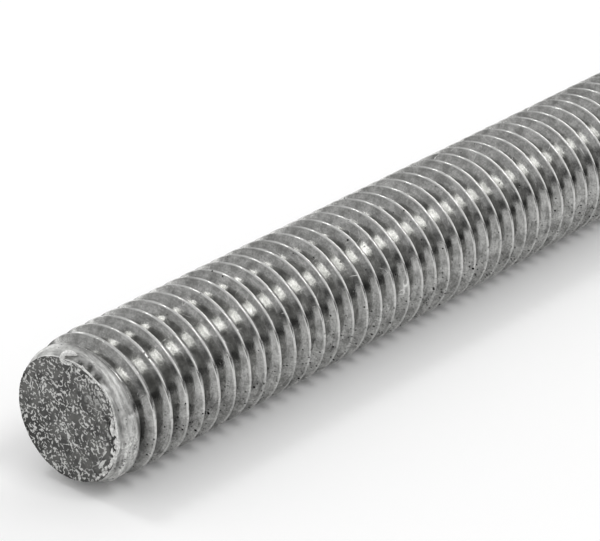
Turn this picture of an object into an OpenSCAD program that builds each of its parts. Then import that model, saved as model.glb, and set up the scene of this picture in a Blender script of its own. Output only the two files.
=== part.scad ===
// A straight rod with a metric thread from one cut end to the other, lying on its side.
// The rod runs along X, the near end is at -X, and the floor it lies on is at Z = 0.
// The solid is the thread's outer envelope: its cylinder is the major diameter across the crests.

/* [Rod] */
// Overall length, from one cut face to the other
rod_l = 150; // [40:1:1000]
// Major diameter of the thread, across its crests
thread_d = 10; // [6:0.5:24]
// Thread pitch, from one crest to the next
thread_pitch = 1.5; // [0.5:0.25:3]

/* [Near end] */
// How far the cut face's edge lies below the crests, at about the depth of the thread
near_face_drop = 0.73; // [0.5:0.01:1.5]
// Length of the short chamfer behind the cut face
near_chamfer_l = 0.75; // [0.2:0.05:2]
// How far below the crests that chamfer ends
near_chamfer_drop = 0.35; // [0.05:0.01:0.45]
// Turns over which the thread then rises to its full height
run_in_turns = 1.5; // [0.5:0.25:4]

/* [Far end] */
// Depth of the plain 45 degree chamfer
far_chamfer = 0.95; // [0.2:0.05:1.5]

/* [Hidden] */
thread_r = thread_d / 2;
run_in_l = run_in_turns * thread_pitch;
full_thread_x = near_chamfer_l + run_in_l;
steel = "#a2a3a1";
$fn = 96;

// Half of the rod's section: X is the radius, Y the distance from the near face
module half_section() {
    polygon([
        [0, 0],
        [thread_r - near_face_drop, 0],
        [thread_r - near_chamfer_drop, near_chamfer_l],
        [thread_r, full_thread_x],
        [thread_r, rod_l - far_chamfer],
        [thread_r - far_chamfer, rod_l],
        [0, rod_l]
    ]);
}

// The rod, turned about X and lying on the floor
module threaded_rod() {
    color(steel)
        translate([-rod_l / 2, 0, thread_r])
            rotate([0, 90, 0])
                rotate_extrude()
                    half_section();
}

threaded_rod();
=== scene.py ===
"""Threaded rod: a cut length of metric all-thread lying on a pale studio floor.

The rod is one piece of rolled steel. Its thread is swept along a helix by a Geometry Nodes tree,
from a one-pitch outline that follows the metric thread form. The near end has the chamfer, the
run-in and the torn rim that a saw leaves, and the far end is plainly chamfered.
"""
import logging
import math
from collections.abc import Callable
from dataclasses import dataclass, field
from functools import partial

import bmesh
import bpy
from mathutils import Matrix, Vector, noise


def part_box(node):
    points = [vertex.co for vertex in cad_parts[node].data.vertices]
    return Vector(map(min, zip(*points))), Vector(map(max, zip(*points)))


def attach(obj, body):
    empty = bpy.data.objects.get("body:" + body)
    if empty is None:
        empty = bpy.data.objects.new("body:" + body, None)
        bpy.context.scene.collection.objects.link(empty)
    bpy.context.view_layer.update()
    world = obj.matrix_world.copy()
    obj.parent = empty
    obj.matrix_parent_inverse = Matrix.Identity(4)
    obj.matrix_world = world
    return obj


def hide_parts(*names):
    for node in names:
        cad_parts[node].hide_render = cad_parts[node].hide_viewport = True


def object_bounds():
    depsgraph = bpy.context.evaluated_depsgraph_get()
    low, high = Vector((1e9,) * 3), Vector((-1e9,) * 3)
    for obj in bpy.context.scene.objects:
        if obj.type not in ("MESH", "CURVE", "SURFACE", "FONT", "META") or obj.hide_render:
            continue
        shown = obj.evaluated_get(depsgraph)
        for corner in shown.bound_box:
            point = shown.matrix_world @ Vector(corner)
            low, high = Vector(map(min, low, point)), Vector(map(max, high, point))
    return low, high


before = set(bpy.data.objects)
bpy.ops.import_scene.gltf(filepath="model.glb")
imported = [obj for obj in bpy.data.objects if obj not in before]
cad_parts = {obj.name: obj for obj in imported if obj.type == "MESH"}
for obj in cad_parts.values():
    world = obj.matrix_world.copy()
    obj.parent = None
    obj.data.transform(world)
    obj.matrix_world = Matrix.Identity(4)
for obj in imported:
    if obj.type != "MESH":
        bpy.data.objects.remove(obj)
CAD_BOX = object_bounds()
FACE_X = CAD_BOX[0][0]
AXIS_Z = (CAD_BOX[0][2] + CAD_BOX[1][2]) / 2

MM = 0.001
NODE = "threaded_rod"
LOG = logging.getLogger("threaded_rod")

MATH, WHOLE, VECTOR_MATH = "ShaderNodeMath", "FunctionNodeIntegerMath", "ShaderNodeVectorMath"
MAP_RANGE, MIX, NOISE = "ShaderNodeMapRange", "ShaderNodeMix", "ShaderNodeTexNoise"
COMBINE, SEPARATE, RANDOM = "ShaderNodeCombineXYZ", "ShaderNodeSeparateXYZ", "FunctionNodeRandomValue"
Source = bpy.types.Node | bpy.types.NodeSocket
Adder = Callable[..., bpy.types.Node]
SOCKET_TYPES = {
    int: "NodeSocketInt", float: "NodeSocketFloat", bpy.types.Object: "NodeSocketObject",
    bpy.types.Material: "NodeSocketMaterial"}


def linear(hex_colour: str) -> tuple[float, float, float, float]:
    """Turns an sRGB hex colour into the linear RGBA that Blender's sockets hold.

    Args:
        hex_colour: The colour as "#RRGGBB".

    Returns:
        Linear red, green, blue and an alpha of 1.
    """
    channels = [int(hex_colour[i:i + 2], 16) / 255 for i in (1, 3, 5)]
    curve = [c / 12.92 if c <= 0.04045 else ((c + 0.055) / 1.055) ** 2.4 for c in channels]
    return (curve[0], curve[1], curve[2], 1.0)


def ramp(value: float, length: float = 1.0) -> float:
    """Gives how far a value has come along a length, kept between 0 and 1."""
    return min(1.0, max(0.0, value / length))


def feed(tree: bpy.types.NodeTree, socket: bpy.types.NodeSocket, source: object) -> None:
    """Sets an input from a plain value, from an output, or from the first output in use of a node.

    Args:
        tree: The node tree that holds the input.
        socket: The input.
        source: The value, the output or the node.
    """
    if isinstance(source, bpy.types.Node):
        source = next(output for output in source.outputs if output.enabled)
    if isinstance(source, bpy.types.NodeSocket):
        tree.links.new(source, socket)
    else:
        socket.default_value = source


def add_node(tree: bpy.types.NodeTree, kind: str, inputs: dict | tuple = (), **settings) -> bpy.types.Node:
    """Adds a node with its settings, its input values and its links.

    Args:
        tree: The node tree that gets the node.
        kind: The node's type, such as "ShaderNodeMath".
        inputs: What feeds the inputs: by name, or in order over the inputs that are in use.
        settings: The node's own properties, such as operation="ADD".

    Returns:
        The new node.
    """
    node = tree.nodes.new(kind)
    for name, value in settings.items():
        setattr(node, name, value)
    if isinstance(inputs, dict):
        pairs = [(node.inputs[name], source) for name, source in inputs.items()]
    else:
        pairs = zip([socket for socket in node.inputs if socket.enabled], inputs)
    for socket, source in pairs:
        feed(tree, socket, source)
    return node


def new_mesh_object(name: str, points: list, faces: list) -> bpy.types.Object:
    """Makes an object from points and faces and links it to the scene.

    Args:
        name: The name of the object and of its mesh.
        points: The points, in metres.
        faces: The faces, as tuples of point numbers.

    Returns:
        The new object.
    """
    mesh = bpy.data.meshes.new(name)
    mesh.from_pydata(points, [], faces)
    mesh.update()
    made = bpy.data.objects.new(name, mesh)
    bpy.context.scene.collection.objects.link(made)
    return made


def new_geometry_tree(name: str, values: dict) -> bpy.types.NodeTree:
    """Starts a Geometry Nodes tree with a named input for each value and a mesh as its output.

    Args:
        name: The tree's name.
        values: Input name to value. The value's type gives the input's.

    Returns:
        The tree.
    """
    tree = bpy.data.node_groups.new(name, "GeometryNodeTree")
    for key, value in values.items():
        tree.interface.new_socket(key, in_out="INPUT", socket_type=SOCKET_TYPES[type(value)])
    tree.interface.new_socket("Mesh", in_out="OUTPUT", socket_type="NodeSocketGeometry")
    return tree


def mesh_from_tree(tree: bpy.types.NodeTree, values: dict, name: str) -> bpy.types.Mesh:
    """Runs a Geometry Nodes tree on an empty host and keeps what it makes as a plain smooth mesh.

    Args:
        tree: The tree.
        values: Input name to value, set by the sockets' identifiers.
        name: The mesh's name.

    Returns:
        The new mesh. The host and its modifier are gone.
    """
    host = new_mesh_object(f"{name}_host", [], [])
    modifier = host.modifiers.new(name, "NODES")
    modifier.node_group = tree
    for item in tree.interface.items_tree:
        if item.in_out == "INPUT":
            modifier[item.identifier] = values[item.name]
    bpy.context.view_layer.update()
    depsgraph = bpy.context.evaluated_depsgraph_get()
    mesh = bpy.data.meshes.new_from_object(host.evaluated_get(depsgraph), depsgraph=depsgraph)
    mesh.name = name
    mesh.shade_smooth()
    bpy.data.objects.remove(host)
    return mesh


@dataclass(frozen=True)
class MetricThread:
    """The basic form of an external metric thread, in millimetres.

    Attributes:
        diameter: The diameter across the crests.
        pitch: The distance from one crest to the next.
        crest_flat: Width of the flat on a crest.
        crest_round: Radius of the crest's rounded edges.
    """

    diameter: float
    pitch: float
    crest_flat: float = 0.11
    crest_round: float = 0.045

    @property
    def radius(self) -> float:
        """The radius across the crests."""
        return self.diameter / 2

    @property
    def root_round(self) -> float:
        """The radius of the rounded root: a sixth of the sharp triangle's height."""
        return self.pitch * math.sqrt(3) / 12

    @property
    def root_radius(self) -> float:
        """The rod's radius at the bottom of the groove."""
        return self.radius - self.pitch * math.sqrt(3) * 17 / 48

    def outline(self) -> list[tuple[float, float]]:
        """Works out one pitch of the thread's outline, with the crest in the middle.

        Returns:
            Stations of axial offset from the crest and radius, from root to root. The last root
            point is left out, because the next turn starts with it.
        """
        half = self.pitch / 2
        crest_edge = self.crest_flat / 2
        edge_drop = self.crest_round * math.cos(math.radians(30))
        rise = [
            self.root_point(20),
            self.root_point(60),
            (-crest_edge - self.crest_round * 0.5, self.radius - edge_drop),
            (-crest_edge + self.crest_round * 0.3, self.radius),
        ]
        fall = [(-offset, radius) for offset, radius in reversed(rise)]
        assert all(-half < offset < half for offset, _ in rise + fall)
        return rise + fall

    def root_point(self, degrees: float) -> tuple[float, float]:
        """Gives a point on the rounded root behind the crest.

        Args:
            degrees: The angle up the round from the bottom of the groove.

        Returns:
            The axial offset from the crest, and the radius.
        """
        turn = math.radians(degrees)
        offset = -self.pitch / 2 + self.root_round * math.sin(turn)
        return offset, self.root_radius + self.root_round * (1 - math.cos(turn))


@dataclass(frozen=True)
class Arc:
    """An arc around the rod, in degrees from +Y up over the top to -Y.

    Attributes:
        first: Where it begins.
        last: Where it ends.
        slope: How far inside either end it reaches full strength.
    """

    first: float
    last: float
    slope: float = 8.0

    def inside(self, degrees: float) -> float:
        """Gives how far inside the arc's nearer end an angle is."""
        return min(degrees - self.first, self.last - degrees)

    def share(self, degrees: float) -> float:
        """Gives 1 inside the arc and 0 outside it, with a slope between."""
        return ramp(self.inside(degrees), self.slope)

    def way(self, degrees: float) -> float:
        """Gives how far along the arc an angle is, from 0 to 1."""
        return (degrees - self.first) / (self.last - self.first)


@dataclass(frozen=True)
class NearEnd:
    """The end that was sawn off the stock: drops below the crests and lengths, in millimetres.

    Attributes:
        face_drop: How far the cut face's edge lies below the crests.
        chamfer_length: Length of the short chamfer behind the face.
        chamfer_drop: How far below the crests that chamfer ends.
        full_thread_at: Distance from the face at which the crests reach full height.
        groove_starts_at: Distance from the face at which the first groove begins.
        groove_full_at: Distance from the face at which it is at full depth.
        start_angle: Where around the rod a crest would meet the face.
        rough_depth: How deep the dents of the sawn ring are at the face.
        rough_length: Distance from the face over which they fade out.
        fine_from: Distance from the face up to which the mesh is made finer.
        face_recess: How far the face lies inside the thin lip that the saw pushed up.
        bulge: How far the rim is pushed out on one side.
        bulge_arc: Where the rim is pushed out.
        peak: How much further out it is pushed at its furthest.
        peak_at: Where that is, in degrees around the rod.
        peak_reach: How many degrees to both sides that reaches.
        tear_arc: Where the torn strip behind the rim is.
        tear_length: Its length along the rod.
        tear_depth: Its depth.
        swell: How far the steel behind the strip is pushed up.
        seam_arc: Where the seam beside the thick slivers is.
        seam_at: Its distance from the face.
        crack_arc: Where the crack inside the rim is.
        crack_radius: Its distance from the middle where it begins.
        crack_spread: How much further out it ends.
        crack_width: Its half width.
        strip_arc: Where the flattened strip on the outer half of the ring is.
        strip_rise: How far it stands up.
        curl_shade_arc: Where the painted shade round the curl is.
        curl_shading: How dark that painted shade is, from 0 to 1.
        groove_shade_arc: Where the painted shade in the bottom of the first groove is.
    """

    face_drop: float = 0.73
    chamfer_length: float = 0.75
    chamfer_drop: float = 0.35
    full_thread_at: float = 3.0
    groove_starts_at: float = 0.95
    groove_full_at: float = 1.4
    start_angle: float = 183.2
    rough_depth: float = 0.05
    rough_length: float = 1.6
    fine_from: float = 1.45
    face_recess: float = 0.05
    bulge: float = 0.16
    bulge_arc: Arc = Arc(94.0, 242.0, 10.0)
    peak: float = 0.3
    peak_at: float = 143.0
    peak_reach: float = 16.0
    tear_arc: Arc = Arc(98.0, 130.0, 4.0)
    tear_length: float = 0.5
    tear_depth: float = 0.16
    swell: float = 0.26
    seam_arc: Arc = Arc(160.0, 222.0)
    seam_at: float = 0.31
    crack_arc: Arc = Arc(156.0, 208.0)
    crack_radius: float = 3.62
    crack_spread: float = 0.5
    crack_width: float = 0.15
    strip_arc: Arc = Arc(160.0, 240.0, 4.0)
    strip_rise: float = 0.11
    curl_shade_arc: Arc = Arc(72.0, 132.0, 9.0)
    curl_shading: float = 0.24
    groove_shade_arc: Arc = Arc(168.0, 212.0)

    def pushed_out(self, degrees: float) -> float:
        """Gives how far the rim is pushed out.

        Args:
            degrees: Where around the rod.

        Returns:
            The distance in millimetres.
        """
        peak = self.peak * math.exp(-((degrees - self.peak_at) / self.peak_reach) ** 2)
        return self.bulge * self.bulge_arc.share(degrees) + peak


@dataclass(frozen=True)
class Sliver:
    """A sliver that the saw left on the rim. The sizes, in millimetres, are first those of the curl.

    Attributes:
        path: Its middle line: degrees around the rod, distance from the axis and from the face.
        width: Its width.
        thickness: Its thickness.
        bend_fat: How much fatter it is at its tightest bend.
        raggedness: How much its width wanders.
        sides: Facets around it.
        steps: Rings between two points of the path.
    """

    path: tuple[tuple[float, float, float], ...] = (
        (99.0, 4.27, 0.10), (96.6, 4.21, 0.06), (93.4, 4.11, 0.05), (90.2, 4.10, 0.05), (87.8, 4.18, 0.07),
        (86.8, 4.34, 0.11), (87.8, 4.52, 0.17), (90.6, 4.65, 0.25), (94.6, 4.70, 0.34), (99.4, 4.68, 0.46))
    width: float = 0.34
    thickness: float = 0.11
    bend_fat: float = 0.45
    raggedness: float = 0.28
    sides: int = 10
    steps: int = 4

    def middle_line(self, centre: Vector) -> list[Vector]:
        """Runs a smooth line through the path.

        Args:
            centre: The middle of the near face, in metres.

        Returns:
            The line's points, in metres.
        """
        knots = []
        for degrees, radius, along in self.path:
            turn = math.radians(degrees)
            knots.append(centre + Vector((along, radius * math.cos(turn), radius * math.sin(turn))) * MM)
        line = []
        for i in range(len(knots) - 1):
            before, start, end, after = (knots[min(max(i + k, 0), len(knots) - 1)] for k in (-1, 0, 1, 2))
            for step in range(self.steps):
                t = step / self.steps
                line.append(0.5 * (
                    2 * start + (end - before) * t + (2 * before - 5 * start + 4 * end - after) * t**2
                    + (3 * start - before - 3 * end + after) * t**3))
        return line + [knots[-1]]

    def add_to(self, shape: bmesh.types.BMesh, centre: Vector, slot: int) -> None:
        """Sweeps the sliver as a closed shell.

        Args:
            shape: The mesh that gets it.
            centre: The middle of the near face, in metres.
            slot: The material slot of its faces.
        """
        line = self.middle_line(centre)
        rings = []
        for i, point in enumerate(line):
            tangent = (line[min(i + 1, len(line) - 1)] - line[max(i - 1, 0)]).normalized()
            radial = Vector((0.0, point.y - centre.y, point.z - centre.z)).normalized()
            flat = (Vector((-1.0, 0.0, 0.0)) * 0.75 + radial * 0.65).normalized()
            wide = tangent.cross(flat).normalized()
            up = wide.cross(tangent).normalized()
            taper = math.sin(math.pi / 2 * max(0.06, ramp(min(i, len(line) - 1 - i), 5)))
            fat = taper * (1 + self.bend_fat * math.exp(-((i - len(line) * 0.42) / (len(line) * 0.2)) ** 2))
            ring = []
            for k in range(self.sides):
                turn = math.tau * k / self.sides
                ragged = 1 + self.raggedness * noise.noise(Vector((i * 0.19, k * 0.5, 3.0)))
                side = wide * math.cos(turn) * self.width / 2 * fat * ragged
                rise = up * math.sin(turn) * self.thickness / 2 * fat
                ring.append(shape.verts.new(point + (side + rise) * MM))
            rings.append(ring)
        made = []
        for one, two in zip(rings, rings[1:]):
            for k in range(self.sides):
                after = (k + 1) % self.sides
                made.append(shape.faces.new((one[k], one[after], two[after], two[k])))
        made += [shape.faces.new(list(reversed(rings[0]))), shape.faces.new(rings[-1])]
        for face in made:
            face.material_index = slot
            face.smooth = True
        bmesh.ops.recalc_face_normals(shape, faces=made)


@dataclass(frozen=True)
class RimChips:
    """Small chips of steel that the saw left along part of the rim. Sizes are in millimetres.

    Attributes:
        count: How many chips.
        first: Degrees around the rod where they begin.
        last: Where they end.
        radius: The rim's distance from the axis.
        length: A chip's length.
        seed: The seed of their places and turns.
    """

    count: int
    first: float
    last: float
    radius: float
    length: float
    seed: int

    def chip(self) -> bpy.types.Object:
        """Makes one chip: a short bent plate, thin at its ends, along Y.

        Returns:
            The chip, 1 mm long.
        """
        ring, steps = 6, 5
        points, faces = [], []
        for i in range(steps + 1):
            t = i / steps * 2 - 1
            fat = math.sqrt(max(0.04, 1 - t * t))
            for k in range(ring):
                turn = math.tau * k / ring
                points.append((0.14 * fat * math.sin(turn) + 0.1 * t * t, t * 0.5,
                               0.26 * fat * math.cos(turn) * (1 + 0.3 * math.sin(5 * t))))
        for i in range(steps):
            for k in range(ring):
                low, high, after = i * ring, (i + 1) * ring, (k + 1) % ring
                faces.append((low + k, low + after, high + after, high + k))
        faces += [tuple(range(ring - 1, -1, -1)), tuple(range(steps * ring, (steps + 1) * ring))]
        chip = new_mesh_object("rim_chip", [tuple(c * MM for c in p) for p in points], faces)
        shape = bmesh.new()
        shape.from_mesh(chip.data)
        bmesh.ops.recalc_face_normals(shape, faces=shape.faces)
        shape.to_mesh(chip.data)
        shape.free()
        return chip

    def build(self, centre: Vector, steel: bpy.types.Material) -> bpy.types.Mesh:
        """Scatters the chips along the rim.

        Args:
            centre: The middle of the near face, in metres.
            steel: Their finish.

        Returns:
            All the chips as one plain mesh.
        """
        chip = self.chip()
        values = {
            "Chip": chip, "Count": self.count, "First": math.radians(self.first),
            "Last": math.radians(self.last), "Radius": self.radius * MM, "Length": self.length,
            "Face": centre.x, "Axis Height": centre.z, "Seed": self.seed, "Steel": steel}
        mesh = mesh_from_tree(self.scatter_tree(values), values, "rim_chips")
        bpy.data.objects.remove(chip)
        return mesh

    def scatter_tree(self, values: dict) -> bpy.types.NodeTree:
        """Builds the tree that puts a chip at each point of an arc, with its own turn and size.

        Args:
            values: Input name to value.

        Returns:
            The tree.
        """
        tree = new_geometry_tree("rim_chips", values)
        add = partial(add_node, tree)
        given = tree.nodes.new("NodeGroupInput").outputs
        points = add("GeometryNodePoints", {"Count": given["Count"]})
        index = add("GeometryNodeInputIndex")
        jitter = add(RANDOM, {"Min": -0.6, "Max": 0.6, "Seed": given["Seed"]})
        step = add(MATH, (index, jitter), operation="ADD")
        angle = add(MAP_RANGE, (step, 0.0, given["Count"], given["First"], given["Last"]), clamp=False)
        other = add(WHOLE, (given["Seed"], 7), operation="ADD")
        inset = add(RANDOM, {"Min": 0.93, "Max": 1.015, "Seed": other})
        radius = add(MATH, (given["Radius"], inset), operation="MULTIPLY")
        arm = add(COMBINE, {"Y": radius})
        turned = add("ShaderNodeVectorRotate", {"Vector": arm, "Angle": angle}, rotation_type="X_AXIS")
        depth = add(MATH, (given["Face"], 0.06 * MM), operation="ADD")
        seat = add(COMBINE, {"X": depth, "Z": given["Axis Height"]})
        spot = add(VECTOR_MATH, (turned, seat), operation="ADD")
        placed = add("GeometryNodeSetPosition", {"Geometry": points, "Position": spot})
        # A chip lies along the rim, give or take a turn about X
        along = add(MATH, (angle, math.pi / 2), operation="ADD")
        sway = add(RANDOM, {"Min": -0.45, "Max": 0.45, "Seed": other})
        heading = add(MATH, (along, sway), operation="ADD")
        turn = add(COMBINE, {"X": heading})
        size = add(RANDOM, {"Min": 0.45, "Max": 1.0, "Seed": given["Seed"]})
        scale = add(MATH, (given["Length"], size), operation="MULTIPLY")
        shape = add("GeometryNodeObjectInfo", {"Object": given["Chip"]})
        copies = add("GeometryNodeInstanceOnPoints", {
            "Points": placed, "Instance": shape.outputs["Geometry"], "Rotation": turn, "Scale": scale})
        real = add("GeometryNodeRealizeInstances", {"Geometry": copies})
        finished = add("GeometryNodeSetMaterial", {"Geometry": real, "Material": given["Steel"]})
        add("NodeGroupOutput", {"Mesh": finished})
        return tree


@dataclass(frozen=True)
class FarEnd:
    """The plain end, in millimetres.

    Attributes:
        chamfer: Length and depth of its 45 degree chamfer.
    """

    chamfer: float = 0.95


@dataclass
class ThreadedRod:
    """The rod itself: one piece of rolled steel, threaded from end to end.

    Attributes:
        thread: The metric thread form.
        near: The sawn end.
        far: The plain end.
        slivers: The slivers on the near rim: the curl, the long one, and short thick ones.
        chips: The chips along the rim.
        segments: Straight facets around the rod.
        face_rings: Rings of faces across each flat end.
        crease: Degrees between two faces past which their edge is drawn sharp.
    """

    thread: MetricThread
    near: NearEnd = field(default_factory=NearEnd)
    far: FarEnd = field(default_factory=FarEnd)
    slivers: tuple[Sliver, ...] = (
        Sliver(),
        Sliver(
            path=((101.0, 4.41, 0.04), (108.0, 4.43, 0.03), (118.0, 4.47, 0.04), (128.0, 4.56, 0.03),
                  (137.0, 4.69, 0.04), (145.0, 4.72, 0.03), (154.0, 4.62, 0.04), (164.0, 4.51, 0.03),
                  (176.0, 4.45, 0.05), (188.0, 4.44, 0.04), (200.0, 4.42, 0.03)),
            width=0.13, thickness=0.1, bend_fat=0.0, raggedness=0.7),
        Sliver(
            path=((177.0, 4.43, 0.12), (181.0, 4.45, 0.13), (186.0, 4.45, 0.13), (191.0, 4.42, 0.12),
                  (194.5, 4.40, 0.1)),
            width=0.19, thickness=0.14, bend_fat=0.1, raggedness=0.35),
        Sliver(
            path=((164.0, 4.14, 0.03), (168.5, 4.08, 0.02), (173.0, 4.05, 0.02), (177.5, 4.10, 0.03)),
            width=0.3, thickness=0.12, bend_fat=0.3, raggedness=0.6),
        Sliver(
            path=((190.0, 4.28, 0.03), (194.0, 4.30, 0.02), (198.0, 4.27, 0.03)),
            width=0.24, thickness=0.12, bend_fat=0.2, raggedness=0.6),
    )
    chips: tuple[RimChips, ...] = (
        RimChips(count=18, first=104.0, last=162.0, radius=4.42, length=0.46, seed=2),
        RimChips(count=17, first=162.0, last=238.0, radius=4.31, length=0.74, seed=4),
        RimChips(count=12, first=250.0, last=432.0, radius=4.22, length=0.4, seed=9),
    )
    segments: int = 100
    face_rings: int = 10
    crease: float = 50.0

    def build(self, finishes: "Finishes") -> bpy.types.Object:
        """Sweeps the thread, tears the sawn end and returns the finished piece.

        Args:
            finishes: The materials.

        Returns:
            The rod, as a plain mesh at the origin.
        """
        low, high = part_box(NODE)
        centre = Vector((low.x, 0.0, (low.z + high.z) / 2))
        mesh = self.sweep(finishes, centre, high.x - low.x)
        mesh.materials.append(finishes.burr)
        slot = len(mesh.materials) - 1
        shape = bmesh.new()
        shape.from_mesh(mesh)
        self.refine_end(shape, low.x)
        self.tear_end(shape, centre)
        for sliver in self.slivers:
            sliver.add_to(shape, centre, slot)
        for chips in self.chips:
            first = len(shape.faces)
            shape.from_mesh(chips.build(centre, finishes.burr))
            shape.faces.ensure_lookup_table()
            for face in shape.faces[first:]:
                face.material_index = slot
        # Nothing stands out past the face's plane
        for vert in shape.verts:
            vert.co.x = max(vert.co.x, low.x)
        shape.to_mesh(mesh)
        shape.free()
        mesh.set_sharp_from_angle(angle=math.radians(self.crease))
        self.flatten_flanks(mesh)
        rod = bpy.data.objects.new("threaded_rod_steel", mesh)
        bpy.context.scene.collection.objects.link(rod)
        return rod

    def sweep(self, finishes: "Finishes", centre: Vector, length: float) -> bpy.types.Mesh:
        """Sweeps the thread's outline into the whole rod.

        Args:
            finishes: The materials.
            centre: The middle of the near face, in metres.
            length: The rod's length, in metres.

        Returns:
            The rod with its rolled, sawn and faced steel, before its end is torn.
        """
        # One pitch of the outline as loose points, X along the rod and Z the radius
        points = [(offset * MM, 0.0, radius * MM) for offset, radius in self.thread.outline()]
        outline = new_mesh_object("thread_outline", points, [])
        near = self.near
        spare_turns = 4
        values = {
            "Outline": outline,
            "Stations": len(points),
            "Turns": math.ceil(length / (self.thread.pitch * MM)) + spare_turns,
            "Segments": self.segments,
            "Face Rings": self.face_rings,
            "Pitch": self.thread.pitch * MM,
            "Length": length,
            "Near Face": centre.x,
            "Axis Height": centre.z,
            "Radius": self.thread.radius * MM,
            "Start Turn": near.start_angle / 360,
            "Face Drop": near.face_drop * MM,
            "Chamfer Length": near.chamfer_length * MM,
            "Chamfer Drop": near.chamfer_drop * MM,
            "Full Thread At": near.full_thread_at * MM,
            "Groove Starts At": near.groove_starts_at * MM,
            "Groove Full At": near.groove_full_at * MM,
            "Far Chamfer": self.far.chamfer * MM,
            "Rough Depth": near.rough_depth * MM,
            "Rough Length": near.rough_length * MM,
            "Rolled": finishes.rolled,
            "Sawn": finishes.sawn,
            "Faced": finishes.faced,
        }
        mesh = mesh_from_tree(self.helix_tree(values), values, "threaded_rod_steel")
        bpy.data.objects.remove(outline)
        # The grid comes with an empty first slot
        mesh.materials.pop(index=0)
        return mesh

    def refine_end(self, shape: bmesh.types.BMesh, near_face: float) -> None:
        """Splits the faces of the sawn ring and the rim, so that they can be torn.

        Args:
            shape: The swept rod.
            near_face: Where the near face is along X, in metres.
        """
        reach = near_face + self.near.fine_from * MM
        # The outer two rings of the face are made finer too
        rim = (self.thread.radius - self.near.face_drop) * (1 - 2.5 / self.face_rings) * MM
        axis = Vector((0.0, self.thread.radius * MM))
        fine = {v for v in shape.verts if v.co.x < reach and (v.co.yz - axis).length > rim}
        edges = [e for e in shape.edges if e.verts[0] in fine and e.verts[1] in fine]
        bmesh.ops.subdivide_edges(shape, edges=edges, cuts=2, use_grid_fill=True)
        bmesh.ops.recalc_face_normals(shape, faces=shape.faces)

    def tear_end(self, shape: bmesh.types.BMesh, centre: Vector) -> None:
        """Makes the sawn end uneven, and tears a strip out behind its rim.

        Args:
            shape: The refined rod, which gets "torn" and "lip" attributes for the finish. "torn" also carries
                painted shade.
            centre: The middle of the near face, in metres.
        """
        near, rim = self.near, self.thread.radius - self.near.face_drop
        torn = shape.verts.layers.float.new("torn")
        lip = shape.verts.layers.float.new("lip")
        for vert in shape.verts:
            place = (vert.co - centre) / MM
            if place.x > 2 * self.thread.pitch:
                continue
            radius = math.hypot(place.y, place.z)
            angle = math.degrees(math.atan2(place.z, place.y)) % 360
            if place.x > near.fine_from:
                # Painted shade in the bottom of the first groove, carried by the torn attribute
                vert[torn] = 0.65 * near.groove_shade_arc.share(angle) * ramp(4.45 - radius, 0.15)
                continue
            if place.x < 0.01 and radius < rim - 0.02:
                scale = self.tear_face(vert, torn, place, radius, angle)
            else:
                vert[lip] = max(0.0, 1 - place.x / 0.13) * ramp(0.9 + 1.4 * noise.noise(place * 1.6))
                scale = self.tear_ring(vert, torn, place, radius, angle)
            vert.co.y = centre.y + place.y * scale * MM
            vert.co.z = centre.z + place.z * scale * MM

    def tear_face(self, vert: bmesh.types.BMVert, torn: bmesh.types.BMLayerItem, place: Vector,
                  radius: float, angle: float) -> float:
        """Makes a point of the sawn face uneven near the rim, and opens one crack along it.

        Args:
            vert: The point, which moves inwards along X.
            torn: The attribute for the finish.
            place: Where it is from the face's middle, in millimetres.
            radius: Its distance from the axis, in millimetres.
            angle: Its degrees around the rod.

        Returns:
            How many times as far from the axis it belongs.
        """
        near, rim = self.near, self.thread.radius - self.near.face_drop
        way = near.crack_arc.way(angle)
        line = near.crack_radius + near.crack_spread * way + 0.09 * noise.noise(place * 2.3)
        open_here = ramp(min(way, 1 - way), 0.08) * (0.6 + 0.6 * noise.noise(place * 1.7))
        crack = max(0.0, open_here) * math.exp(-((radius - line) / near.crack_width) ** 2)
        vert[torn] = min(1.0, crack * 1.4)
        fine = noise.fractal(place * 3.1, 0.6, 2.2, 3)
        uneven = 0.05 * ramp(radius - rim + 1.2, 1.2) * max(0.0, 0.5 + fine)
        vert.co.x += (near.face_recess + uneven + 0.12 * crack) * MM
        outer = ramp(radius - 2.4, rim - 2.4) ** 1.5
        return 1 + near.pushed_out(angle) * outer / max(radius, 0.1)

    def tear_ring(self, vert: bmesh.types.BMVert, torn: bmesh.types.BMLayerItem, place: Vector,
                  radius: float, angle: float) -> float:
        """Tears a point of the ring behind the rim, with the strip, the seam and the swollen steel.

        Args:
            vert: The point.
            torn: The attribute for the finish.
            place: Where it is from the face's middle, in millimetres.
            radius: Its distance from the axis, in millimetres.
            angle: Its degrees around the rod.

        Returns:
            How many times as far from the axis it belongs.
        """
        near = self.near
        fine = noise.fractal(place * 3.1, 0.6, 2.2, 3)
        # The torn strip has ragged sides and ends
        inside = near.tear_arc.inside(angle) + 3.5 * noise.noise(place * 1.9)
        along = ramp(near.tear_length * (1 + 0.6 * fine) - place.x, 0.1)
        broken = max(0.15, ramp(0.5 + 2.1 * noise.noise(Vector((angle * 0.24, place.x * 1.5, 7.0)))))
        vert[torn] = ramp(inside, near.tear_arc.slope) * along * ramp(place.x - 0.08, 0.06) * broken
        # The seam beside the thick slivers, the painted shade round the curl, and the flattened strip
        seam = near.seam_arc.share(angle) * math.exp(-((place.x - near.seam_at) / 0.07) ** 2)
        seam *= ramp(0.8 + noise.noise(place * 1.5))
        vert[torn] = max(vert[torn], 0.75 * seam)
        # dull holds the painted shade round the curl
        dull = near.curl_shade_arc.share(angle)
        vert[torn] = max(vert[torn], near.curl_shading * dull * ramp(place.x - 0.1, 0.1))
        strip = near.strip_arc.share(angle) * ramp(place.x - 0.5, 0.1)
        vert[torn] = max(vert[torn], 1.6 * strip * (1 - strip) * max(0.0, 0.7 + noise.noise(place * 2.0)))
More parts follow.
